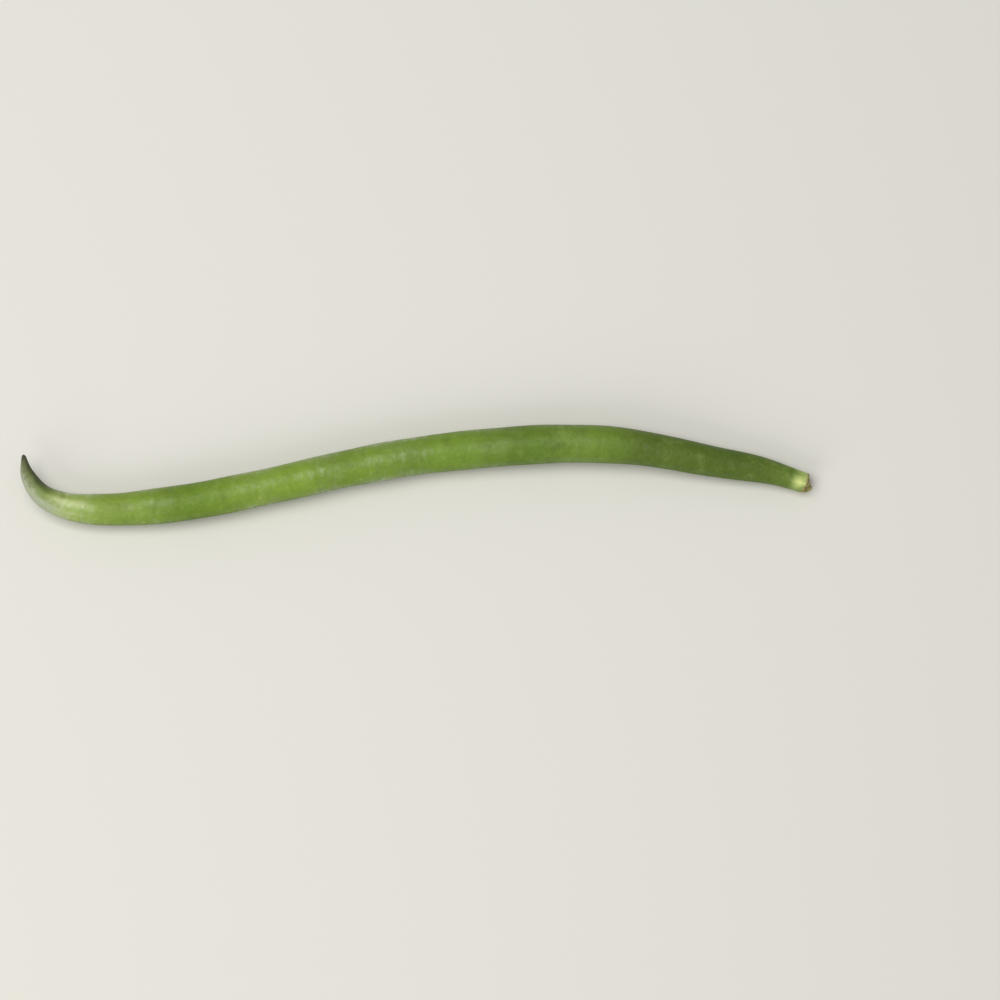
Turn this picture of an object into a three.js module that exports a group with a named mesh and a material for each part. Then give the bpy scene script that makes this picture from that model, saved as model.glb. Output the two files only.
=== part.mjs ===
// A fresh green bean: one round, slender pod as picked, lying on its side on a flat surface.
//
// The pod is one closed body. It has a curled, tapering beak, two seams where its two halves
// join, shallow swellings over its seeds, a narrow neck, and a torn face where its stalk broke.
//
// Millimetres, +Z up. X runs from the beak to the stem end, and Y across the pod.
// The origin lies on the surface, under the middle of the pod's box.
//
// The surface is a lathe's: rings round a straight axis. Each of its points is then given the
// pod's own cross-section and moved to its place along the bent middle line.

import * as THREE from 'three';

// Driving dimensions. Each distance along the pod is measured from the tip of the beak.

// The middle line seen from above, as x and y.
const ROUTE = [
  [-77.3, 4.1],
  [-76.4, 0.1],
  [-73.5, -3.95],
  [-68.7, -6],
  [-60.6, -6.65],
  [-44.7, -5.25],
  [-28.9, -2.15],
  [-13.1, 1.5],
  [2.8, 4.4],
  [18.6, 5.95],
  [30.5, 6.45],
  [42.4, 5.9],
  [58.2, 3.25],
  [70.1, 1.15],
  [77.35, -1.15],
];

// Half of the width from seam to seam, as distance along the pod and half width.
const HALF_WIDTH = [
  [0, 0.36],
  [1.2, 0.62],
  [4.2, 1.34],
  [9.5, 2.08],
  [15, 2.62],
  [19, 2.95],
  [25, 3.2],
  [31, 3.45],
  [51, 3.5],
  [61, 3.5],
  [82, 3.64],
  [111, 3.76],
  [121, 3.64],
  [131, 3.38],
  [141, 3.08],
  [151, 2.76],
  [157.5, 2.2],
  [163, 1.95],
];

// How thick the pod is, top to bottom, as a share of its width.
const THICKNESS_SHARE = [
  [0, 0.86],
  [12, 0.88],
  [30, 0.94],
  [90, 0.96],
  [140, 0.97],
  [163, 1],
];

// How high the underside is above the surface, between the seeds. Where a swelling or the neck
// would reach lower than the surface, the skin is flattened on it.
const UNDERSIDE = [
  [0, 4.6],
  [8, 3.1],
  [15, 1.2],
  [22, 0.25],
  [31, -0.03],
  [40, 0.25],
  [58, 0.55],
  [83, 0.25],
  [93, -0.03],
  [103, 0.25],
  [122, 0.55],
  [135, 0.4],
  [149, -0.24],
  [157, 0.1],
  [163, 0.4],
];

// How far the seams are turned about the middle line, in degrees.
const TWIST = [
  [0, 4],
  [35, -3],
  [75, 8],
  [115, 2],
  [163, -7],
];

const TIP_ROUNDING = 0.7;

const FIRST_SEED = 32.5;
const SEED_PITCH = 15.2;
const SEED_COUNT = 8;
const SEED_SPREAD = 4.3;
const SEED_SWELL = 0.26;
const SEED_SPREAD_ON_SEAM_SIDE = 0.35;

const SEAM_RIDGE = 0.16;
const SEAM_RIDGE_SPREAD = 7;
const SEAM_VALLEY = 0.1;
const SEAM_VALLEY_SPREAD = 17;
const SEAM_FADE = 12;

// The torn face's rim reaches past the pod's end at its crown and falls short of it at the seams,
// more so at the -Y one. Low on its -Y side a torn tongue juts out.
const BREAK_CROWN = 0.15;
const BREAK_FALL = 0.56;
const BREAK_FALL_DIFFERENCE = 0.12;
const TONGUE_JUT = 1;
const TONGUE_ANGLE = -108;
const TONGUE_SPREAD = 38;
const BREAK_REACH = 7;
const RIM_RAGGEDNESS = 0.16;
const RIM_TEETH = 5;

// The torn face from its rim to its middle, as a share of the neck's half width and a height.
const TORN_FACE = [
  [0.97, 0.18],
  [0.84, 0.3],
  [0.66, -0.08],
  [0.48, -0.12],
  [0.34, 0.28],
  [0.16, 0.42],
  [0, 0.34],
];

// How finely the surface is cut. The sides are closer together at the seams than between them.
const SIDES = 32;
const SEAM_CROWDING = 0.3;
const TIP_RINGS = [0.1, 0.35, 0.8];
const BEAK_END = 22;
const BEAK_RING_STEP = 1.05;
const BODY_RING_STEP = 1.7;
const NECK_START = 152;
const NECK_RING_STEP = 1;

const SKIN_GREEN = 0x768f3c;
const SKIN_ROUGHNESS = 0.42;

const middleLine = new THREE.CatmullRomCurve3(ROUTE.map(([x, y]) => new THREE.Vector3(x, y, 0)));
const POD_LENGTH = middleLine.getLength();

// A smooth function of the distance along the pod, through the stations of a list.
function through(stations) {
  const distances = stations.map(([distance]) => distance);
  const values = stations.map(([, value]) => value);
  const curve = new THREE.CubicInterpolant(distances, values, 1);
  return (distance) => curve.evaluate(distance)[0];
}

const widthAt = through(HALF_WIDTH);
const thicknessShareAt = through(THICKNESS_SHARE);
const undersideAt = through(UNDERSIDE);
const twistAt = through(TWIST);

// A smooth hump, 1 at its middle.
function hump(offset, spread) {
  return Math.exp(-((offset / spread) ** 2));
}

// Half of the pod's width, with the beak's tip rounded off.
function halfWidthAt(distance) {
  const toGo = Math.max(0, 1 - distance / TIP_ROUNDING);
  return widthAt(distance) * Math.sqrt(1 - toGo ** 2);
}

// The middle line's height puts the underside at its own height above the surface.
function middleAt(distance) {
  const point = middleLine.getPointAt(distance / POD_LENGTH);
  point.z = widthAt(distance) * thicknessShareAt(distance) + undersideAt(distance);
  return point;
}

// The middle line's place and directions at a distance along it: along, to the side, and up.
function frameAt(distance) {
  const step = 0.2;
  const held = THREE.MathUtils.clamp(distance, 0, POD_LENGTH);
  const before = middleAt(Math.max(0, held - step));
  const after = middleAt(Math.min(POD_LENGTH, held + step));
  const along = after.sub(before).normalize();
  const side = new THREE.Vector3(0, 0, 1).cross(along).normalize();
  const up = along.clone().cross(side);
  const origin = middleAt(held).addScaledVector(along, distance - held);
  return { origin, along, side, up };
}

// How far the skin stands out over the seeds: most on the two faces, least on the seams.
function seedSwellAt(distance, angle) {
  let swell = 0;
  for (let seed = 0; seed < SEED_COUNT; seed += 1) {
    swell += hump(distance - FIRST_SEED - seed * SEED_PITCH, SEED_SPREAD);
  }
  const onFace = Math.sin(angle) ** 2;
  return SEED_SWELL * swell * THREE.MathUtils.lerp(SEED_SPREAD_ON_SEAM_SIDE, 1, onFace);
}

// How far the skin stands out at the seams: a fine ridge with a shallow valley on each side.
function seamReliefAt(distance, angle) {
  const fromSeam = THREE.MathUtils.radToDeg(Math.asin(Math.abs(Math.sin(angle))));
  const ridge = SEAM_RIDGE * hump(fromSeam, SEAM_RIDGE_SPREAD);
  const valley = SEAM_VALLEY * hump(fromSeam, SEAM_VALLEY_SPREAD);
  const fromEnds = Math.min(distance, POD_LENGTH - distance);
  return (ridge - valley) * THREE.MathUtils.smoothstep(fromEnds, 0, SEAM_FADE);
}

// The rings of the straight lathe, from the beak's tip to the middle of the torn face.
function latheProfile() {
  const distances = [...TIP_RINGS];
  for (let distance = BEAK_RING_STEP; distance < BEAK_END; distance += BEAK_RING_STEP) {
    distances.push(distance);
  }
  for (let distance = BEAK_END; distance < NECK_START; distance += BODY_RING_STEP) {
    distances.push(distance);
  }
  for (let distance = NECK_START; distance < POD_LENGTH; distance += NECK_RING_STEP) {
    distances.push(distance);
  }
  const rings = distances.sort((a, b) => a - b).map((distance) => (
    new THREE.Vector2(halfWidthAt(distance), distance)));
  const endWidth = widthAt(POD_LENGTH);
  const face = TORN_FACE.map(([share, height]) => (
    new THREE.Vector2(share * endWidth, POD_LENGTH + height)));
  return [new THREE.Vector2(0, 0), ...rings, ...face];
}

// How far the break's rim lies past the pod's end, at an angle about the middle line.
function breakRimAt(turned) {
  const toSide = Math.cos(turned);
  const fall = (BREAK_FALL - BREAK_FALL_DIFFERENCE * toSide) * toSide ** 2;
  const fromTongue = THREE.MathUtils.radToDeg(turned) - TONGUE_ANGLE;
  return BREAK_CROWN - fall + TONGUE_JUT * hump(fromTongue, TONGUE_SPREAD);
}

// Where a point of the straight lathe lies on the pod.
function placeOnPod(radius, angle, distance) {
  const crowded = angle - (SEAM_CROWDING / 2) * Math.sin(2 * angle);
  const relief = seedSwellAt(distance, crowded) + seamReliefAt(distance, crowded);
  const fromMiddle = radius / widthAt(distance);
  const reach = radius + relief * fromMiddle;
  const turned = crowded + THREE.MathUtils.degToRad(twistAt(distance));
  const sideways = reach * Math.cos(turned);
  const upward = reach * Math.sin(turned) * thicknessShareAt(distance);
  const nearBreak = THREE.MathUtils.smoothstep(distance, POD_LENGTH - BREAK_REACH, POD_LENGTH);
  const tear = RIM_RAGGEDNESS * Math.sin(RIM_TEETH * angle) * Math.cos(2 * angle);
  const { origin, along, side, up } = frameAt(distance);
  return origin
    .addScaledVector(along, nearBreak * fromMiddle * (breakRimAt(turned) + tear))
    .addScaledVector(side, sideways)
    .addScaledVector(up, upward);
}

// The pod's surface, flattened where it rests, with its origin under the middle of its box.
function podGeometry() {
  const geometry = new THREE.LatheGeometry(latheProfile(), SIDES);
  const points = geometry.getAttribute('position');
  for (let index = 0; index < points.count; index += 1) {
    const across = points.getZ(index);
    const upright = points.getX(index);
    const radius = Math.hypot(across, upright);
    const angle = Math.atan2(upright, across);
    const placed = placeOnPod(radius, angle, points.getY(index));
    points.setXYZ(index, placed.x, placed.y, Math.max(0, placed.z));
  }
  geometry.computeBoundingBox();
  const middle = geometry.boundingBox.getCenter(new THREE.Vector3());
  geometry.translate(-middle.x, -middle.y, 0);
  geometry.computeVertexNormals();
  return geometry;
}

const skin = new THREE.MeshStandardMaterial({
  color: SKIN_GREEN,
  roughness: SKIN_ROUGHNESS,
  metalness: 0,
});

const pod = new THREE.Mesh(podGeometry(), skin);
pod.name = 'pod';

const greenBean = new THREE.Group();
greenBean.add(pod);

export default greenBean;
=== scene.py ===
# A fresh green bean, as picked, lying on its side on a pale surface.
#
# Metres, +Z up. X runs from the curled beak to the torn stem end, and Y across the pod.

import math

import bpy
import numpy as np
from mathutils import Matrix, Vector


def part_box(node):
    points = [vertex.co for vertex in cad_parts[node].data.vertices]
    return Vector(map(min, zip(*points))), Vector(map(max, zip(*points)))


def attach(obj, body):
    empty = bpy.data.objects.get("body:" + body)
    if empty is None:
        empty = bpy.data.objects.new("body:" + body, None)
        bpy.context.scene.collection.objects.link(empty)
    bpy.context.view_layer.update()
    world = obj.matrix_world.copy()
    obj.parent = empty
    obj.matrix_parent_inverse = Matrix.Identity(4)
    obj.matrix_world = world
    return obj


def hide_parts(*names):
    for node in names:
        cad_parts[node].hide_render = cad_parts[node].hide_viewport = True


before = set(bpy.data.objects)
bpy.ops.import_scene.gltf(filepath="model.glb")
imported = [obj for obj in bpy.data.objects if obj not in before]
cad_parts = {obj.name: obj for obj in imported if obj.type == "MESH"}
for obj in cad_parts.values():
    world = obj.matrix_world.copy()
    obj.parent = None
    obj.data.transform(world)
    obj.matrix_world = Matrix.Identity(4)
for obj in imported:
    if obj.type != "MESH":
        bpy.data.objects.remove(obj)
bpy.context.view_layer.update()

MM = 0.001


# The pod's middle line
#
# A bean pod hangs and grows in a long bend, thickest past its middle, with a beak that curls at its
# free end. Its middle line carries the half width and the turn of the seams at each place.

# Seen from above, as x and y in millimetres, from the tip of the beak to the stem end.
ROUTE = [
    (-77.3, 4.1),
    (-76.4, 0.1),
    (-73.5, -3.95),
    (-68.7, -6),
    (-60.6, -6.65),
    (-44.7, -5.25),
    (-28.9, -2.15),
    (-13.1, 1.5),
    (2.8, 4.4),
    (18.6, 5.95),
    (30.5, 6.45),
    (42.4, 5.9),
    (58.2, 3.25),
    (70.1, 1.15),
    (77.35, -1.15),
]

# Each list below gives a distance from the tip of the beak, in millimetres, and a value there. The
# thickness, top to bottom, is a share of the width. The underside is a height above the surface,
# and the skin is flattened where it would reach lower.
HALF_WIDTH_MM = [
    (0, 0.36),
    (1.2, 0.62),
    (4.2, 1.34),
    (9.5, 2.08),
    (15, 2.62),
    (19, 2.95),
    (25, 3.2),
    (31, 3.45),
    (51, 3.5),
    (61, 3.5),
    (82, 3.64),
    (111, 3.76),
    (121, 3.64),
    (131, 3.38),
    (141, 3.08),
    (151, 2.76),
    (157.5, 2.2),
    (163, 1.95),
]
THICKNESS_SHARE = [(0, 0.86), (12, 0.88), (30, 0.94), (90, 0.96), (140, 0.97), (163, 1)]
UNDERSIDE_MM = [
    (0, 4.6),
    (8, 3.1),
    (15, 1.2),
    (22, 0.25),
    (31, -0.03),
    (40, 0.25),
    (58, 0.55),
    (83, 0.25),
    (93, -0.03),
    (103, 0.25),
    (122, 0.55),
    (135, 0.4),
    (149, -0.24),
    (157, 0.1),
    (163, 0.4),
]
SEAM_TURN_DEGREES = [(0, 4), (35, -3), (75, 8), (115, 2), (163, -7)]

BEND_STEPS = 3000
LINE_STOPS = 500


def through(stations):
    """A smooth function that passes through each (distance, value) station."""
    distances, values = np.array(stations, float).T
    slopes = np.gradient(values, distances)

    def value_at(distance):
        index = np.clip(np.searchsorted(distances, distance) - 1, 0, len(distances) - 2)
        span = distances[index + 1] - distances[index]
        share = np.clip((distance - distances[index]) / span, 0, 1)
        rise = share * share * (3 - 2 * share)
        leaving = share * (1 - share) ** 2 * span * slopes[index]
        arriving = share * share * (share - 1) * span * slopes[index + 1]
        return values[index] * (1 - rise) + values[index + 1] * rise + leaving + arriving

    return value_at


def path_length(points):
    """The length along a row of points up to each of them."""
    steps = np.linalg.norm(np.diff(points, axis=0), axis=1)
    return np.concatenate([[0], np.cumsum(steps)])


# The bend is paced by the square roots of the steps between its points, so it doesn't overshoot.
route = np.array(ROUTE, float)
paces = np.concatenate([[0], np.cumsum(np.sqrt(np.diff(path_length(route))))])
fine = np.linspace(0, paces[-1], BEND_STEPS)
bend = np.stack([through(list(zip(paces, axis)))(fine) for axis in route.T], axis=1)
bend_length = path_length(bend)
POD_LENGTH_MM = bend_length[-1]

stops = np.linspace(0, POD_LENGTH_MM, LINE_STOPS)
line_x, line_y = (np.interp(stops, bend_length, bend[:, axis]) for axis in (0, 1))
half_widths = through(HALF_WIDTH_MM)(stops)
thickness_shares = through(THICKNESS_SHARE)(stops)
line_z = half_widths * thickness_shares + through(UNDERSIDE_MM)(stops)

line_curve = bpy.data.curves.new("pod_middle_line", "CURVE")
line_curve.dimensions = "3D"
line_curve.twist_mode = "Z_UP"
spline = line_curve.splines.new("POLY")
spline.points.add(len(stops) - 1)
line_points = np.stack([line_x * MM, line_y * MM, line_z * MM, np.ones(len(stops))], axis=1)
spline.points.foreach_set("co", line_points.ravel())
spline.points.foreach_set("radius", half_widths * MM)
spline.points.foreach_set("tilt", np.radians(through(SEAM_TURN_DEGREES)(stops)))
middle_line = bpy.data.objects.new("pod_middle_line", line_curve)
bpy.context.scene.collection.objects.link(middle_line)


# The pod's skin
#
# One tough, waxy skin over crisp flesh. It swells a little over each seed, is drawn in between
# them, and is joined along two seams: one with a groove between two lips, and one plain rib.


class Flow:
    """A number or vector in a node tree, so that sums of nodes are written as arithmetic."""

    def __init__(self, bench, socket):
        self.bench = bench
        self.socket = socket

    def __add__(self, other):
        return self.bench.maths("ADD", self, other)

    def __radd__(self, other):
        return self.bench.maths("ADD", other, self)

    def __sub__(self, other):
        return self.bench.maths("SUBTRACT", self, other)

    def __rsub__(self, other):
        return self.bench.maths("SUBTRACT", other, self)

    def __mul__(self, other):
        return self.bench.maths("MULTIPLY", self, other)

    def __rmul__(self, other):
        return self.bench.maths("MULTIPLY", other, self)

    def __truediv__(self, other):
        return self.bench.maths("DIVIDE", self, other)

    def __neg__(self):
        return self.bench.maths("MULTIPLY", self, -1)


class Bench:
    """Adds nodes to one tree and joins them up."""

    def __init__(self, tree):
        self.tree = tree

    def add(self, kind, inputs=(), **settings):
        """Adds a node with its settings and its inputs."""
        node = self.tree.nodes.new(kind)
        for name, value in settings.items():
            setattr(node, name, value)
        self.plug_all(inputs, node)
        return node

    def plug_all(self, inputs, node):
        """Plugs inputs that are given in order, or by name or number in a dict."""
        pairs = inputs.items() if isinstance(inputs, dict) else enumerate(inputs)
        for key, value in pairs:
            self.plug(value, node.inputs[key])

    def plug(self, value, socket):
        """Links a flow to a socket, or sets a plain value on it."""
        if isinstance(value, Flow):
            value = value.socket
        if isinstance(value, bpy.types.NodeSocket):
            self.tree.links.new(value, socket)
        else:
            socket.default_value = value

    def out(self, kind, inputs=(), output=0, **settings):
        return Flow(self, self.add(kind, inputs, **settings).outputs[output])

    def maths(self, operation, *terms):
        return self.out("ShaderNodeMath", terms, operation=operation)

    def vector_maths(self, operation, *terms):
        inputs = dict(enumerate(terms))
        if operation == "SCALE":
            inputs = {0: terms[0], "Scale": terms[1]}
        return self.out("ShaderNodeVectorMath", inputs, operation=operation)

    def vector(self, x, y, z):
        return self.out("ShaderNodeCombineXYZ", (x, y, z))

    def parts(self, vector):
        split = self.add("ShaderNodeSeparateXYZ", (vector,))
        return [Flow(self, output) for output in split.outputs]

    def hump(self, offset, spread):
        """A smooth hump, 1 at its middle."""
        share = offset / spread
        return self.maths("EXPONENT", -(share * share))

    def rise(self, value, start, end):
        """0 up to start, then smoothly up to 1 at end. It falls where start is past end."""
        inputs = {"Value": value, "From Min": start, "From Max": end}
        return self.out("ShaderNodeMapRange", inputs, interpolation_type="SMOOTHSTEP")

    def stretch(self, distance, places):
        """1 along a stretch, whose places are where it starts, is full, starts to fade and ends."""
        start, full, fading, end = places
        return self.rise(distance, start, full) * self.rise(distance, end, fading)

    def between(self, share, low, high):
        """The number that lies a share of the way from low to high."""
        return low + (high - low) * share

    def curve(self, value, stations, clipped=True):
        """A smooth curve from 0 to 1 through (place, height) stations."""
        node = self.add("ShaderNodeFloatCurve", {"Value": value})
        node.mapping.use_clip = clipped
        points = node.mapping.curves[0].points
        points[0].location = (0, stations[0][1])
        points[1].location = (1, stations[-1][1])
        for place, height in stations[1:-1]:
            points.new(place, height)
        node.mapping.update()
        return Flow(self, node.outputs[0])

    def noise(self, vector, scale, detail=2.0, roughness=0.5):
        """Cloudy noise from about -0.5 to 0.5."""
        inputs = {"Vector": vector, "Scale": scale, "Detail": detail, "Roughness": roughness}
        return self.out("ShaderNodeTexNoise", inputs) - 0.5

    def stretched_noise(self, vector, scales, detail=2.0, roughness=0.5):
        """Cloudy noise with a scale of its own along each axis."""
        return self.noise(self.vector_maths("MULTIPLY", vector, scales), 1, detail, roughness)

    def dots(self, vector, scale, size):
        """Scattered dots, 1 at their middles, and a number from 0 to 1 that is each dot's own."""
        cells = self.add("ShaderNodeTexVoronoi", {"Vector": vector, "Scale": scale})
        pick = self.parts(Flow(self, cells.outputs["Color"]))[0]
        return self.rise(Flow(self, cells.outputs["Distance"]), size, 0), pick

    def blend(self, share, first, second):
        """The first colour where share is 0 and the second where it is 1."""
        inputs = {0: share, 6: first, 7: second}
        return self.out("ShaderNodeMix", inputs, output=2, data_type="RGBA")


def new_tree(name, inputs):
    """A geometry node tree with named inputs, its workbench, and a flow for each input."""
    tree = bpy.data.node_groups.new(name, "GeometryNodeTree")
    for label, (kind, value) in inputs.items():
        socket_type = "NodeSocket" + kind
        socket = tree.interface.new_socket(name=label, in_out="INPUT", socket_type=socket_type)
        if value is not None:
            socket.default_value = value
    tree.interface.new_socket(name="Geometry", in_out="OUTPUT", socket_type="NodeSocketGeometry")
    bench = Bench(tree)
    entry = tree.nodes.new("NodeGroupInput")
    flows = {label: Flow(bench, entry.outputs[label]) for label in inputs}
    return bench, flows


def finish_tree(bench, geometry, material):
    """Ends a tree: instances made real, and one material on all of it."""
    real = bench.out("GeometryNodeRealizeInstances", (geometry,))
    painted = bench.out("GeometryNodeSetMaterial", {"Geometry": real, "Material": material})
    bench.plug(painted, bench.tree.nodes.new("NodeGroupOutput").inputs[0])
    return bench.tree


def grown(name, tree, **settings):
    """Runs a tree once and keeps its result as a plain mesh object."""
    host = bpy.data.objects.new(name + "_host", bpy.data.meshes.new(name + "_host"))
    bpy.context.scene.collection.objects.link(host)
    modifier = host.modifiers.new("grow", "NODES")
    modifier.node_group = tree
    for item in tree.interface.items_tree:
        if item.in_out == "INPUT" and item.name in settings:
            modifier[item.identifier] = settings[item.name]
    ready = bpy.context.evaluated_depsgraph_get()
    mesh = bpy.data.meshes.new_from_object(
        host.evaluated_get(ready), preserve_all_data_layers=True, depsgraph=ready
    )
    mesh.name = name
    host.modifiers.remove(modifier)
    bpy.data.objects.remove(host)
    piece = bpy.data.objects.new(name, mesh)
    bpy.context.scene.collection.objects.link(piece)
    return piece


def colour(red, green, blue):
    """A colour on a screen, each part 0 to 255, as the renderer's own linear colour."""
    screen = np.array([red, green, blue]) / 255
    linear = np.where(screen <= 0.04045, screen / 12.92, ((screen + 0.055) / 1.055) ** 2.4)
    return (*map(float, linear), 1.0)


def new_material(name):
    """A material, the workbench for its nodes, and its shader."""
    material = bpy.data.materials.new(name)
    material.use_nodes = True
    paint = Bench(material.node_tree)
    return material, paint, paint.tree.nodes["Principled BSDF"]


def as_shares(stations):
    """The same stations, with their distances as shares of the pod's length."""
    return [(along / POD_LENGTH_MM, value) for along, value in stations]


SEED_COUNT = 8
SEED_DRIFT = 0.9 * MM
SEED_SWELL_AT_SEAMS = 0.35

# The lips, the rib and the valleys beside them, measured over the skin from a seam's own line.
GROOVED_LIP_OFFSET = 0.34 * MM
GROOVED_LIP_SPREAD = 0.2 * MM
RIB_SPREAD = 0.26 * MM
SEAM_VALLEY_SHARE = 0.6
SEAM_VALLEY_SPREAD = 1.1 * MM
SEAM_FADE = 12 * MM

TIP_ROUNDING = 0.7 * MM

# The scales of a noise along the pod and across it.
SLOW_SCALES = (70, 150, 150)
WRINKLE_SCALES = (110, 900, 900)

# The skin gathers into low ribs round the neck and the beak. They wander with the slow noise.
NECK_RIBS = 9
NECK_RIB_HEIGHT = 0.05 * MM
NECK_RIB_START = 16 * MM
NECK_RIB_FULL = 3 * MM
BEAK_RIBS = 6
BEAK_RIB_HEIGHT = 0.03 * MM
BEAK_RIB_STRETCH = (0, 3 * MM, 4 * MM, 20 * MM)
RIB_WANDER = 5
SMOOTH_TIP = 10 * MM

# The mesh's rings crowd together at both ends of the pod, and the last of them fill the torn face.
RING_CROWDING = 0.6
TORN_FACE_SHARE = 0.05

# The torn face from its middle to its rim, as a share of the way and a height in millimetres.
TORN_FACE_HEIGHTS = [
    (0, 0.34),
    (0.16, 0.42),
    (0.34, 0.28),
    (0.48, -0.12),
    (0.66, -0.08),
    (0.84, 0.3),
    (1, 0.05),
]
TORN_LUMP_SCALE = 1000
TORN_LUMP_HEIGHT = 0.9 * MM

# The torn tongue's place round the middle line, from the pod's +Y side, and how far it spreads.
TONGUE_ANGLE = math.radians(252)
TONGUE_SPREAD = math.radians(38)

RIM_TEETH = 5
RIM_NOISE_SCALE = 5
TORN_EDGE = 0.08
MERGE_DISTANCE = 0.001 * MM

skin_material, paint, shader = new_material("pod_skin")

bench, size = new_tree(
    "pod skin",
    {
        "Middle line": ("Object", None),
        "Rings": ("Int", 700),
        "Sides": ("Int", 116),
        "Length": ("Float", float(POD_LENGTH_MM * MM)),
        "First seed": ("Float", 32.5 * MM),
        "Seed pitch": ("Float", 15.2 * MM),
        "Seed spread": ("Float", 4.3 * MM),
        "Seed swell": ("Float", 0.26 * MM),
        "Seam height": ("Float", 0.13 * MM),
        "Unevenness": ("Float", 0.16 * MM),
        "Wrinkles": ("Float", 0.05 * MM),
        "Break crown": ("Float", 0.15 * MM),
        "Break fall": ("Float", 0.56 * MM),
        "Break fall difference": ("Float", 0.12 * MM),
        "Tongue jut": ("Float", 1 * MM),
        "Break reach": ("Float", 7 * MM),
        "Raggedness": ("Float", 0.16 * MM),
        "Seed": ("Int", 4),
    },
)

grid = bench.add("GeometryNodeMeshGrid", (1, 1, size["Rings"], size["Sides"]))
grid_x, grid_y, _ = bench.parts(bench.out("GeometryNodeInputPosition"))
lengthwise = grid_x + 0.5
on_body = bench.maths("MINIMUM", lengthwise / (1 - TORN_FACE_SHARE), 1)
inward = bench.maths("MAXIMUM", (lengthwise - (1 - TORN_FACE_SHARE)) / TORN_FACE_SHARE, 0)
crowded = on_body - RING_CROWDING * bench.maths("SINE", on_body * math.tau) / math.tau
distance = size["Length"] * crowded
angle = (grid_y + 0.5) * math.tau
to_seam = bench.maths("COSINE", angle)
to_face = bench.maths("SINE", angle)

line_info = bench.out("GeometryNodeObjectInfo", (size["Middle line"],), output="Geometry")
sample = bench.add(
    "GeometryNodeSampleCurve",
    {"Curves": line_info, "Value": bench.out("GeometryNodeInputRadius"), "Factor": crowded},
    mode="FACTOR",
)
line_width, line_place, line_heading, line_normal = (
    Flow(bench, output) for output in sample.outputs[:4]
)
line_side = bench.vector_maths("SCALE", line_normal, -1)

to_tip = bench.maths("MAXIMUM", 1 - distance / TIP_ROUNDING, 0)
half_width = line_width * bench.maths("SQRT", 1 - to_tip * to_tip)
from_middle = half_width * (1 - inward)
straight = bench.vector(distance, from_middle * to_seam, from_middle * to_face)

# The swellings over the seeds, each a little off its even place.
seed_number = bench.maths("ROUND", (distance - size["First seed"]) / size["Seed pitch"])
seed_number = bench.maths("MINIMUM", bench.maths("MAXIMUM", seed_number, 0), SEED_COUNT - 1)
seed_drift = bench.out(
    "FunctionNodeRandomValue",
    {"Min": -SEED_DRIFT, "Max": SEED_DRIFT, "ID": seed_number, "Seed": size["Seed"]},
    output=1,
    data_type="FLOAT",
)
from_seed = distance - size["First seed"] - seed_number * size["Seed pitch"] - seed_drift
swell = bench.hump(from_seed, size["Seed spread"])
on_face = bench.between(to_face * to_face, SEED_SWELL_AT_SEAMS, 1)
seed_relief = size["Seed swell"] * swell * on_face

# The seams: a groove between two lips on one side, one rib on the other.
seam_arc = bench.maths("ABSOLUTE", line_width * to_face)
grooved_side = bench.rise(to_seam, 0, 0.2)
ribbed_side = bench.rise(to_seam, 0, -0.2)
lips = bench.hump(seam_arc - GROOVED_LIP_OFFSET, GROOVED_LIP_SPREAD) * grooved_side
rib = bench.hump(seam_arc, RIB_SPREAD) * ribbed_side
valley = bench.hump(seam_arc, SEAM_VALLEY_SPREAD)
from_ends = bench.maths("MINIMUM", distance, size["Length"] - distance)
seam_strength = bench.rise(from_ends, 0, SEAM_FADE)
seam_form = lips + rib - SEAM_VALLEY_SHARE * valley
seam_relief = size["Seam height"] * seam_strength * seam_form

# Slow unevenness, fine lengthwise wrinkles, and the ribs that gather at the neck and the beak.
slow = bench.stretched_noise(straight, SLOW_SCALES)
streaks = bench.stretched_noise(straight, WRINKLE_SCALES, 3)
at_neck = bench.rise(distance, size["Length"] - NECK_RIB_START, size["Length"] - NECK_RIB_FULL)
neck_ribs = bench.maths("COSINE", angle * NECK_RIBS + slow * RIB_WANDER)
neck_ribs = neck_ribs * at_neck * NECK_RIB_HEIGHT
at_beak = bench.stretch(distance, BEAK_RIB_STRETCH)
beak_ribs = bench.maths("COSINE", angle * BEAK_RIBS + slow * RIB_WANDER)
beak_ribs = beak_ribs * at_beak * BEAK_RIB_HEIGHT
fade_at_tip = bench.rise(distance, 0, SMOOTH_TIP)
relief = seed_relief + seam_relief + neck_ribs + beak_ribs
relief = relief + (size["Unevenness"] * slow + size["Wrinkles"] * streaks) * fade_at_tip

reach = (half_width + relief * bench.maths("MINIMUM", half_width / MM, 1)) * (1 - inward)
thickness = bench.curve(crowded, as_shares(THICKNESS_SHARE))
across = reach * to_seam
upward = reach * to_face * thickness

# The torn face falls short of the pod's end at the seams, and a torn tongue juts out low on its -Y
# side. Its torn flesh makes it rough.
face_height = bench.curve(1 - inward, TORN_FACE_HEIGHTS, clipped=False)
torn = bench.rise(inward, 0, TORN_EDGE)
torn_lumps = bench.noise(bench.vector(across, upward, 0), TORN_LUMP_SCALE, 4, 0.65)
torn_height = (face_height * MM + torn_lumps * TORN_LUMP_HEIGHT) * torn
near_break = bench.rise(distance, size["Length"] - size["Break reach"], size["Length"])
turned = angle + math.radians(SEAM_TURN_DEGREES[-1][1])
to_side = bench.maths("COSINE", turned)
fall = (size["Break fall"] - size["Break fall difference"] * to_side) * to_side * to_side
tongue = size["Tongue jut"] * bench.hump(turned - TONGUE_ANGLE, TONGUE_SPREAD)
rim_past_end = size["Break crown"] - fall + tongue
tear = bench.maths("SINE", angle * RIM_TEETH) * bench.maths("COSINE", angle * 2)
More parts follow.
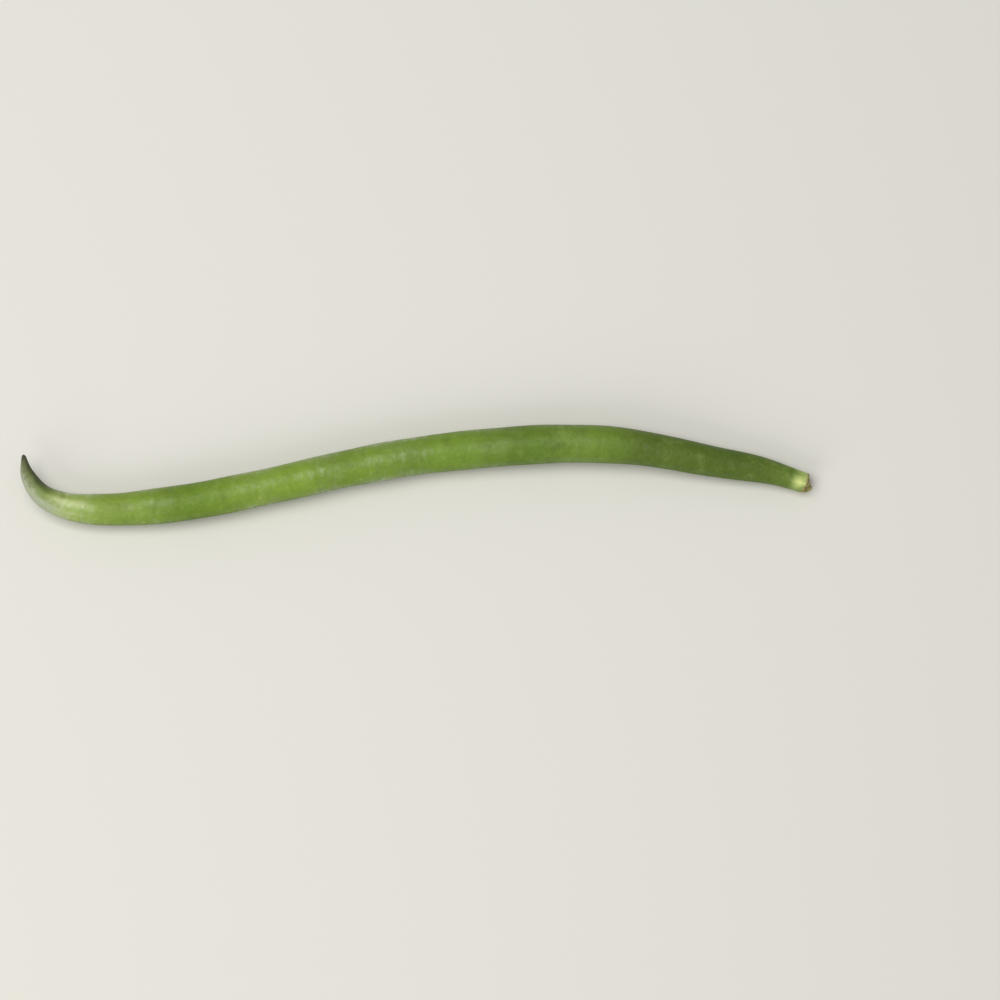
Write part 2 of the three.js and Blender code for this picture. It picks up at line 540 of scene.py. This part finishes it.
tear = tear + bench.noise(bench.vector(to_seam, to_face, 0), RIM_NOISE_SCALE, 3)
onward = near_break * (rim_past_end + size["Raggedness"] * tear) * (1 - inward) + torn_height

side_way = bench.vector_maths("SCALE", line_side, across)
line_up = bench.vector_maths("CROSS_PRODUCT", line_heading, line_side)
up_way = bench.vector_maths("SCALE", line_up, upward)
on_way = bench.vector_maths("SCALE", line_heading, onward)
place = bench.vector_maths("ADD", bench.vector_maths("ADD", line_place, side_way), up_way)
place_x, place_y, place_z = bench.parts(bench.vector_maths("ADD", place, on_way))
on_surface = bench.vector(place_x, place_y, bench.maths("MAXIMUM", place_z, 0))

# The mesh keeps what its material follows: each point's place on the straightened pod, how near it
# is to a seed, and how far it lies into the torn face.
skin = Flow(bench, grid.outputs["Mesh"])
for label, flow, kind in (
    ("straight", straight, "FLOAT_VECTOR"),
    ("swell", swell, "FLOAT"),
    ("inward", inward, "FLOAT"),
):
    skin = bench.out(
        "GeometryNodeStoreNamedAttribute",
        {"Geometry": skin, "Name": label, "Value": flow},
        data_type=kind,
        domain="POINT",
    )
skin = bench.out("GeometryNodeSetPosition", {"Geometry": skin, "Position": on_surface})
skin = bench.out("GeometryNodeMergeByDistance", {"Geometry": skin, "Distance": MERGE_DISTANCE})
skin = bench.out("GeometryNodeSetShadeSmooth", {"Geometry": skin, "Shade Smooth": True})
skin_tree = finish_tree(bench, skin, skin_material)

pod = grown("pod_skin", skin_tree, **{"Middle line": middle_line})
bpy.data.objects.remove(middle_line)

# The pod goes where its solid lies.
skin_points = np.array([vertex.co for vertex in pod.data.vertices])
pod_low, pod_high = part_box("pod")
shift = (pod_low + pod_high) / 2 - Vector((skin_points.min(0) + skin_points.max(0)) / 2)
pod.data.transform(Matrix.Translation((shift.x, shift.y, 0)))

# The colour runs from the grey beak through fresh green to the pale neck. It is partly the skin's
# own
# tone and partly painted light: the lighter stretches near the beak's root are a painted highlight,
# and the fall to darker green towards the stem end is painted shade of a light that fades from the
# left. Each stop is a distance from the tip, in millimetres, and a colour.
SKIN_TONES_AND_PAINTED_LIGHT = [
    (0, colour(92, 94, 62)),
    (7, colour(106, 118, 68)),
    (10, colour(120, 138, 68)),
    (14, colour(145, 165, 78)),
    (20, colour(131, 157, 62)),
    (30, colour(112, 139, 36)),
    (40, colour(98, 126, 30)),
    (53, colour(122, 150, 46)),
    (65, colour(112, 140, 37)),
    (77, colour(109, 137, 38)),
    (96, colour(106, 135, 36)),
    (106, colour(87, 114, 26)),
    (118, colour(104, 132, 38)),
    (129, colour(83, 106, 27)),
    (149, colour(77, 100, 24)),
    (158, colour(92, 116, 33)),
]

# How waxy the skin is along the pod, in the same way: wax makes broad, broken glints.
WAXY_STRETCHES = [
    (0, 0.1),
    (9, 0.12),
    (12.5, 0.85),
    (17, 1),
    (20, 0.5),
    (23, 0.1),
    (32, 0.55),
    (39, 0.06),
    (46, 0.1),
    (53, 0.75),
    (59, 0.2),
    (66, 1),
    (72, 0.3),
    (78, 0.95),
    (87, 0.4),
    (91, 0.1),
    (98, 0.42),
    (105, 0.05),
    (115, 0.3),
    (122, 0.06),
    (163, 0.04),
]

# The tones laid over the skin, and how strongly some of them cover what is under them.
BLOOM = colour(150, 166, 100)
DEEP_GREEN = colour(76, 100, 24)
PIP = colour(164, 182, 100)
SPECK = colour(54, 60, 28)
SEAM_TINT = colour(80, 98, 30)
BEAK_PAINTED_SHADE = colour(56, 64, 36)
BEAK_PAINTED_LIGHT = colour(180, 185, 168)
BEAK_PAINTED_HIGHLIGHT = colour(208, 216, 164)
DRY_TIP = colour(62, 60, 46)
NECK_SIDE = colour(152, 174, 92)
NECK_PAINTED_SHADE = colour(124, 146, 74)
NECK_RIM = colour(166, 182, 112)
PALE_NECK = colour(206, 217, 136)
TORN_DARK = colour(122, 110, 66)
TORN_BROWN = colour(164, 154, 96)
TORN_STRAW = colour(190, 182, 122)
TORN_PITH = colour(186, 192, 124)

BLOOM_COVER = 0.22
DEEP_GREEN_COVER = 0.5
SEAM_COVER = 0.55
PIP_COVER = 0.55
SPECK_COVER = 0.7
BEAK_SHADE_COVER = 0.82
BEAK_LIGHT_COVER = 0.6
PITH_COVER = 0.6

# The scale of each grain. Three numbers are one along the pod and two across it.
CLOUD_SCALE = 210
MOTTLING_SCALE = 1100
BAND_SCALES = (300, 60, 60)
FINE_LINE_SCALES = (160, 2400, 2400)
BLOOM_SCALE = 420
DEEP_GREEN_SCALES = (260, 380, 380)
PIP_SCALE = 300
SPECK_SCALE = 210
TEAR_SCALE = 2600
DIMPLE_SCALE = 480
PORE_SCALE = 3800
WAX_SCALE = 620
GLINT_SCALES = (1500, 420, 420)

# A pip or a speck is this share of its cell, and the cells whose number is past the range have one.
PIP_SIZE = 0.2
PIP_PICK = (0.62, 0.66)
SPECK_SIZE = 0.08
SPECK_PICK = (0.72, 0.76)

# Where the tones lie, measured from the tip. The pips, the beak's painted shade and the dryness end
# at the first distance, and are full nearer the tip than the second.
PIP_STRETCH = (110 * MM, 50 * MM)
BEAK_SHADE_STRETCH = (12 * MM, 7 * MM)
DRY_TIP_STRETCH = (2.1 * MM, 0.3 * MM)
BEAK_LIGHT_STRETCH = (0.5 * MM, 6 * MM, 10 * MM, 17 * MM)
BEAK_HIGHLIGHT_STRETCH = (9.5 * MM, 12.5 * MM, 16 * MM, 20 * MM)
SEAM_TINT_SPREAD = 0.32 * MM

# The sides that the beak's painted highlight and the neck's pale line lie on. A side is 1 on the
# grooved seam, 0 midway and -1 on the rib.
BEAK_HIGHLIGHT_SIDE = 0.17
BEAK_HIGHLIGHT_SPREAD = 0.24
PALE_LINE_SIDE = -0.42

# Where the neck's tones begin and are full, in millimetres short of the pod's end.
PALE_NECK_START = 3.5
PALE_NECK_FULL = 0.9
NECK_RIM_START = 1.2
NECK_RIM_FULL = 0.2
TORN_RIM_START = 0.25

SKIN_RELIEF = 0.07 * MM
WAX_RELIEF_STRETCH = (18 * MM, 40 * MM)


def short_of_end(millimetres):
    """The distance from the tip, in metres, of a place that lies short of the pod's end."""
    return (POD_LENGTH_MM - millimetres) * MM


def torn_flesh(paint, grain, brown_range, straw_range):
    """The tone of torn flesh: dark, then brown, then straw as the grain rises."""
    tone = paint.blend(paint.rise(grain, *brown_range), TORN_DARK, TORN_BROWN)
    return paint.blend(paint.rise(grain, *straw_range), tone, TORN_STRAW)


on_pod = paint.out("ShaderNodeAttribute", output="Vector", attribute_name="straight")
over_seed = paint.out("ShaderNodeAttribute", output="Fac", attribute_name="swell")
into_tear = paint.out("ShaderNodeAttribute", output="Fac", attribute_name="inward")
from_tip, seam_across, face_across = paint.parts(on_pod)

clouds = paint.noise(on_pod, CLOUD_SCALE, 3)
mottling = paint.noise(on_pod, MOTTLING_SCALE, 4, 0.6)
bands = paint.stretched_noise(on_pod, BAND_SCALES, 3)
fine_lines = paint.stretched_noise(on_pod, FINE_LINE_SCALES, 3)

along_share = from_tip / (POD_LENGTH_MM * MM)
# The ramp's colours carry the painted highlight and painted shade along the pod.
ramp_node = paint.add("ShaderNodeValToRGB", (along_share + 0.03 * clouds,))
stops_on_ramp = ramp_node.color_ramp.elements
while len(stops_on_ramp) < len(SKIN_TONES_AND_PAINTED_LIGHT):
    stops_on_ramp.new(1)
for stop, (place, skin_tone) in zip(stops_on_ramp, as_shares(SKIN_TONES_AND_PAINTED_LIGHT)):
    stop.position = place
    stop.color = skin_tone
tone = Flow(paint, ramp_node.outputs["Color"])

# Each grain lightens and darkens the skin, by its own strength.
lightness = 1
for grain, strength in (
    (clouds, 0.34),
    (mottling, 0.3),
    (bands, 0.3),
    (fine_lines, 0.22),
    (over_seed - 0.5, 0.07),
):
    lightness = lightness + strength * grain
tone = paint.vector_maths("SCALE", tone, lightness)
bloom_patches = paint.rise(paint.noise(on_pod, BLOOM_SCALE, 4, 0.62), 0, 0.26)
tone = paint.blend(bloom_patches * BLOOM_COVER, tone, BLOOM)
deep_patches = paint.rise(paint.stretched_noise(on_pod, DEEP_GREEN_SCALES, 3), 0.05, 0.3)
tone = paint.blend(deep_patches * DEEP_GREEN_COVER, tone, DEEP_GREEN)

# The seams are a little darker. Pale pips are scattered from the beak to past the middle, and dark
# specks all over.
seam_near = paint.hump(face_across, SEAM_TINT_SPREAD)
tone = paint.blend(seam_near * SEAM_COVER, tone, SEAM_TINT)
pips, pip_pick = paint.dots(on_pod, PIP_SCALE, PIP_SIZE)
pips = pips * paint.rise(pip_pick, *PIP_PICK) * paint.rise(from_tip, *PIP_STRETCH)
tone = paint.blend(pips * PIP_COVER, tone, PIP)
specks, speck_pick = paint.dots(on_pod, SPECK_SCALE, SPECK_SIZE)
specks = specks * paint.rise(speck_pick, *SPECK_PICK)
tone = paint.blend(specks * SPECK_COVER, tone, SPECK)

radius_here = paint.maths("SQRT", seam_across * seam_across + face_across * face_across)
seam_side = seam_across / radius_here

# The beak has painted shade along its inner edge, on the side away from the light, and is painted
# light grey on its outer, lit side. Its root has a painted highlight in a stripe along it, and its
# tip is dry.
inner_side = paint.rise(seam_side + mottling * 0.9, -0.05, 0.85)
shade_part = paint.rise(from_tip, *BEAK_SHADE_STRETCH)
tone = paint.blend(inner_side * shade_part * BEAK_SHADE_COVER, tone, BEAK_PAINTED_SHADE)
# Painted light: a light grey on the beak's outer side, where the light falls.
outer_side = paint.rise(mottling - seam_side, 0, 0.75)
lit_part = paint.stretch(from_tip, BEAK_LIGHT_STRETCH)
tone = paint.blend(outer_side * lit_part * BEAK_LIGHT_COVER, tone, BEAK_PAINTED_LIGHT)
# A painted highlight lies in a stripe along the beak's root.
on_highlight = paint.hump(seam_side - BEAK_HIGHLIGHT_SIDE, BEAK_HIGHLIGHT_SPREAD)
highlight_part = paint.stretch(from_tip, BEAK_HIGHLIGHT_STRETCH)
tone = paint.blend(on_highlight * highlight_part * (0.5 + 0.8 * mottling), tone, BEAK_PAINTED_HIGHLIGHT)
dryness = paint.rise(from_tip + mottling * 1.2 * MM, *DRY_TIP_STRETCH)
tone = paint.blend(dryness, tone, DRY_TIP)

# The neck pales towards the break, most of all on one line along it, and has painted shade on its
# low -Y side.
neck_edge = from_tip + fine_lines * 0.8 * MM + clouds * 0.6 * MM
neck_paleness = paint.rise(neck_edge, short_of_end(PALE_NECK_START), short_of_end(PALE_NECK_FULL))
near_rim = paint.rise(neck_edge, short_of_end(NECK_RIM_START), short_of_end(NECK_RIM_FULL))
from_pale_line = paint.maths("ABSOLUTE", seam_side - PALE_LINE_SIDE)
to_neck_side = paint.rise(from_pale_line + 0.3 * mottling + 0.25 * near_rim, 0, 0.72)
# Painted shade darkens the neck's low -Y side.
shade_on_low_side = paint.rise(seam_side, -0.2, -0.85)
neck_side = paint.blend(near_rim, NECK_SIDE, NECK_RIM)
neck_side = paint.blend(shade_on_low_side, neck_side, NECK_PAINTED_SHADE)
neck_tone = paint.blend(to_neck_side, PALE_NECK, neck_side)
tone = paint.blend(neck_paleness * (0.95 + 0.5 * mottling), tone, neck_tone)

# The torn face has dry flesh at its rim and paler pith at its middle.
tear_grain = paint.noise(on_pod, TEAR_SCALE, 3, 0.6)
tear_tone = torn_flesh(paint, tear_grain, (-0.22, 0.02), (0.02, 0.24))
in_pith = paint.rise(into_tear + 0.8 * mottling, 0.4, 0.8)
tear_tone = paint.blend(in_pith * PITH_COVER, tear_tone, TORN_PITH)
torn_edge = from_tip + tear_grain * 0.5 * MM
at_rim = paint.rise(torn_edge, short_of_end(TORN_RIM_START), short_of_end(0))
in_tear = paint.maths("MAXIMUM", paint.rise(into_tear, 0, 0.05), at_rim * 0.5)
tone = paint.blend(in_tear, tone, tear_tone)

# The skin is finely dimpled, and a little duller where it has bloom.
dimples = paint.noise(on_pod, DIMPLE_SCALE, 3, 0.55)
pores = paint.noise(on_pod, PORE_SCALE, 3)
relief = 4.6 * dimples + 2 * mottling + 0.4 * pores + 0.3 * fine_lines
bump = paint.out("ShaderNodeBump", {"Strength": 1, "Distance": SKIN_RELIEF, "Height": relief})
roughness = paint.between(in_tear, 0.5 + 0.22 * mottling + 0.1 * bloom_patches, 0.85)

# The wax is a thin, patchy coat over the skin. It is smoother on the beak, and its glints run
# across the pod.
wax_along = paint.curve(along_share + 0.01 * clouds, as_shares(WAXY_STRETCHES))
wax_patches = paint.rise(paint.noise(on_pod, WAX_SCALE, 4, 0.65), -0.16, 0.16)
glints = paint.rise(paint.stretched_noise(on_pod, GLINT_SCALES, 3, 0.6), -0.1, 0.2)
wax = wax_along * (0.36 + 1.3 * wax_patches) * (0.6 + glints) * (1 - in_tear)
wax_strength = 0.05 + 0.2 * paint.rise(from_tip, *WAX_RELIEF_STRETCH)
wax_relief = 4 * dimples + mottling
wax_bump = paint.out(
    "ShaderNodeBump",
    {"Strength": wax_strength, "Distance": SKIN_RELIEF, "Height": wax_relief},
)
paint.plug_all(
    {
        "Base Color": tone,
        "Normal": bump,
        "Roughness": roughness,
        "Specular IOR Level": 0.3,
        "Coat Weight": wax,
        "Coat Normal": wax_bump,
        "Coat Roughness": 0.36,
        "Coat IOR": 1.45,
        "Subsurface Weight": 0.12,
        "Subsurface Radius": (0.6, 1.0, 0.25),
        "Subsurface Scale": 0.6 * MM,
    },
    shader,
)

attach(pod, "root")
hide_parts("pod")


# The torn fibres
#
# Where the stalk broke off, the stiff strands that fed the pod stand out of the flesh as dry,
# tapered ends. They are pulled to all sides and are brown where they dried first.

# A fibre is a thin cone. Its tip is a share of its foot, and the shortest a share of the longest.
FIBRE_SIDES = 6
FIBRE_STEPS = 5
FIBRE_TIP_SHARE = 0.2
SHORTEST_FIBRE = 0.35

# The torn face's rim is bare up to this share of the way to its middle.
BARE_RIM = 0.06

CURL_SCALE = 1300
FIBRE_GRAIN_SCALE = 1900
FIBRE_RELIEF = 0.02 * MM

fibre_material, paint, shader = new_material("torn_fibre")
in_place = paint.out("ShaderNodeTexCoord", output="Object")
fibre_grain = paint.noise(in_place, FIBRE_GRAIN_SCALE, 3)
fibre_bump = paint.out(
    "ShaderNodeBump",
    {"Strength": 0.6, "Distance": FIBRE_RELIEF, "Height": fibre_grain},
)
paint.plug_all(
    {
        "Base Color": torn_flesh(paint, fibre_grain, (-0.2, 0.1), (0.08, 0.3)),
        "Normal": fibre_bump,
        "Roughness": 0.8,
    },
    shader,
)

bench, size = new_tree(
    "torn fibres",
    {
        "Pod": ("Object", None),
        "Fibres per square millimetre": ("Float", 14.0),
        "Length": ("Float", 0.8 * MM),
        "Radius": ("Float", 0.07 * MM),
        "Spread": ("Float", 0.6),
        "Curl": ("Float", 0.2 * MM),
        "Seed": ("Int", 7),
    },
)
pod_surface = bench.out("GeometryNodeObjectInfo", (size["Pod"],), output="Geometry")
torn_part = bench.out("GeometryNodeInputNamedAttribute", ("inward",), data_type="FLOAT")
scatter = bench.add(
    "GeometryNodeDistributePointsOnFaces",
    {
        "Mesh": pod_surface,
        "Selection": bench.out("FunctionNodeCompare", (torn_part, BARE_RIM)),
        "Density": size["Fibres per square millimetre"] / (MM * MM),
        "Seed": size["Seed"],
    },
)
lean_way = bench.out(
    "FunctionNodeRandomValue",
    {"Min": (-1, -1, -1), "Max": (1, 1, 1), "Seed": size["Seed"]},
    data_type="FLOAT_VECTOR",
)
lean = bench.vector_maths("SCALE", lean_way, size["Spread"])
fibre_way = bench.vector_maths("ADD", Flow(bench, scatter.outputs["Normal"]), lean)
fibre = bench.out(
    "GeometryNodeMeshCone",
    {
        "Vertices": FIBRE_SIDES,
        "Side Segments": FIBRE_STEPS,
        "Radius Top": size["Radius"] * FIBRE_TIP_SHARE,
        "Radius Bottom": size["Radius"],
        "Depth": size["Length"],
    },
)
fibre_size = bench.out(
    "FunctionNodeRandomValue",
    {"Min": SHORTEST_FIBRE, "Max": 1.0, "Seed": size["Seed"] + 1},
    output=1,
    data_type="FLOAT",
)
fibres = bench.out(
    "GeometryNodeInstanceOnPoints",
    {
        "Points": Flow(bench, scatter.outputs["Points"]),
        "Instance": fibre,
        "Rotation": bench.out("FunctionNodeAlignRotationToVector", {"Vector": fibre_way}),
        "Scale": fibre_size,
    },
)
fibres = bench.out("GeometryNodeRealizeInstances", (fibres,))
position = bench.out("GeometryNodeInputPosition")
curl = bench.out("ShaderNodeTexNoise", {"Vector": position, "Scale": CURL_SCALE}, output=1)
curl = bench.vector_maths("SUBTRACT", curl, (0.5, 0.5, 0.5))
curl = bench.vector_maths("SCALE", curl, size["Curl"])
fibres = bench.out("GeometryNodeSetPosition", {"Geometry": fibres, "Offset": curl})
fibre_tree = finish_tree(bench, fibres, fibre_material)

fibres_piece = grown("torn_fibres", fibre_tree, Pod=pod)
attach(fibres_piece, "root")


# The surface, the light and the camera
#
# The pod lies on a plain, pale table top with a matt finish. One broad, soft light hangs above it
# and a little to the left, and a weaker one fills in from the front left.

FLOOR_REACH = 1.5
FLOOR_CORNERS = [(-1, -1), (1, -1), (1, 1), (-1, 1)]
FLOOR_COLOUR = colour(216, 215, 210)
ROOM_LIGHT = 0.38

floor_mesh = bpy.data.meshes.new("floor")
floor_points = [(x * FLOOR_REACH, y * FLOOR_REACH, 0) for x, y in FLOOR_CORNERS]
floor_mesh.from_pydata(floor_points, [], [(0, 1, 2, 3)])
floor = bpy.data.objects.new("floor", floor_mesh)
bpy.context.scene.collection.objects.link(floor)
floor_material, paint, shader = new_material("floor")
paint.plug_all({"Base Color": FLOOR_COLOUR, "Roughness": 0.8}, shader)
floor_mesh.materials.append(floor_material)


def soft_light(name, place, size, energy, tint):
    """A square of soft light, turned to face the pod."""
    lamp = bpy.data.lights.new(name, "AREA")
    lamp.size = size
    lamp.energy = energy
    lamp.color = tint
    lamp_object = bpy.data.objects.new(name, lamp)
    lamp_object.location = place
    lamp_object.rotation_euler = (-Vector(place)).to_track_quat("-Z", "Y").to_euler()
    bpy.context.scene.collection.objects.link(lamp_object)


soft_light("key", place=(-0.3, 0.05, 0.95), size=0.75, energy=7.2, tint=(1.0, 0.98, 0.92))
soft_light("fill", place=(-0.5, -0.75, 0.5), size=0.6, energy=3.2, tint=(1.0, 0.99, 0.95))

world = bpy.data.worlds.new("room")
bpy.context.scene.world = world
world.use_nodes = True
background = world.node_tree.nodes["Background"]
background.inputs["Color"].default_value = (1.0, 1.0, 1.0, 1.0)
background.inputs["Strength"].default_value = ROOM_LIGHT

# The camera looks down steeply, and the pod lies left of the middle of its view. Lengths in metres.
CAMERA_ELEVATION = math.radians(78)
CAMERA_DISTANCE = 1.2
VIEW_WIDTH = 0.198
VIEW_MIDDLE = Vector((0.01644, -0.00426, 0))

camera_data = bpy.data.cameras.new("camera")
camera_data.lens = camera_data.sensor_width * CAMERA_DISTANCE / VIEW_WIDTH
camera_data.clip_start = 0.01
camera_data.clip_end = 10
camera = bpy.data.objects.new("camera", camera_data)
camera_back = Vector((0, -math.cos(CAMERA_ELEVATION), math.sin(CAMERA_ELEVATION)))
camera.location = VIEW_MIDDLE + camera_back * CAMERA_DISTANCE
camera.rotation_euler = (-camera_back).to_track_quat("-Z", "Y").to_euler()
bpy.context.scene.collection.objects.link(camera)
bpy.context.scene.camera = camera
bpy.context.scene.view_settings.view_transform = "Standard"
